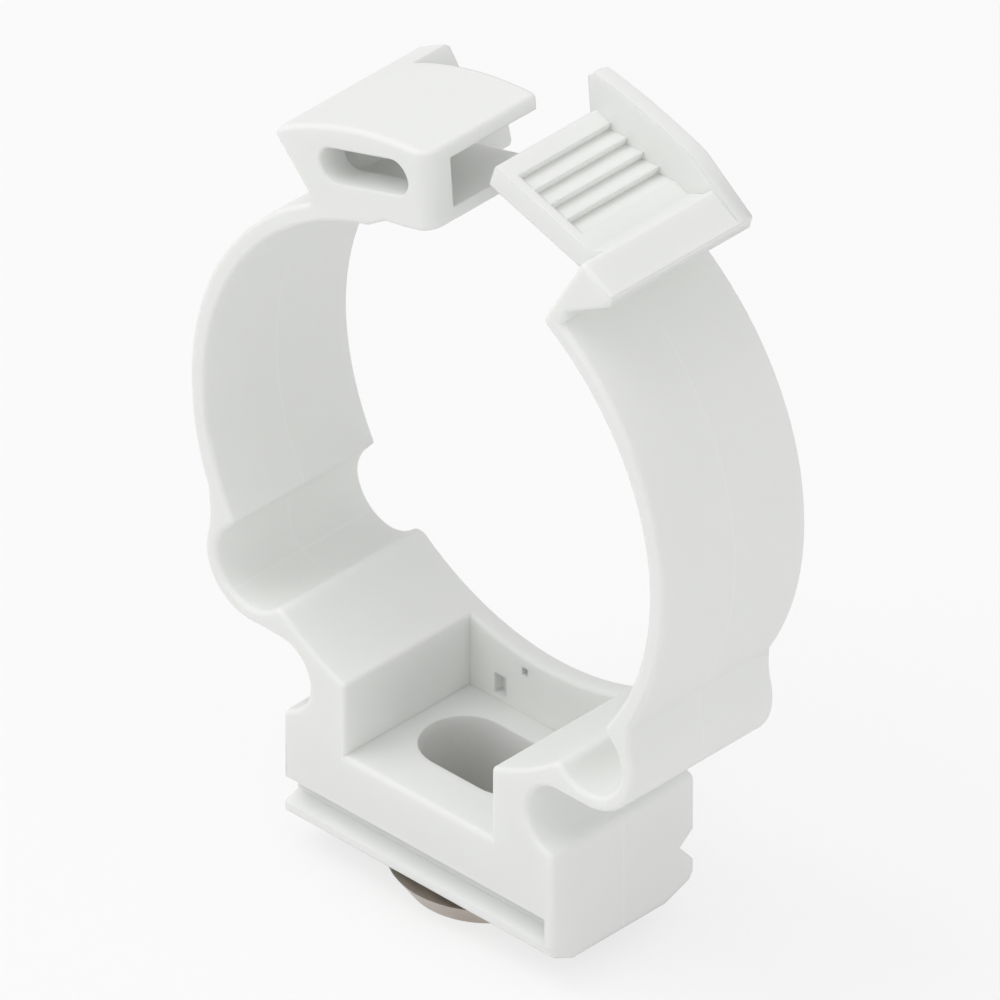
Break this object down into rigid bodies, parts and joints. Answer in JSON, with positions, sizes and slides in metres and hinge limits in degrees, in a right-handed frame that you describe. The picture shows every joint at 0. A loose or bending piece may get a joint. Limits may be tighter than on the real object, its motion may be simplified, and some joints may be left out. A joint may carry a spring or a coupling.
{
  "type": "pipe clip",
  "caption": "Clip of springy moulded plastic that holds a pipe off a wall, with a toothed closing latch and a threaded metal nut in its base.",
  "frame": {"origin": "on the nut's axis, in the plane of the base's underside", "axes": "+X across the clip, from the box arm to the tongue arm; +Y along the pipe, the recess opening at -Y; +Z away from the wall"},
  "size_m": [0.0535, 0.0168, 0.0778],
  "materials": {
    "clip_plastic": "light grey, fine satin",
    "nut_steel": "turned and plated"
  },
  "bodies": {
    "root": {"clip_body": "clip_plastic", "fixing_nut": "nut_steel"}
  },
  "joints": []
}
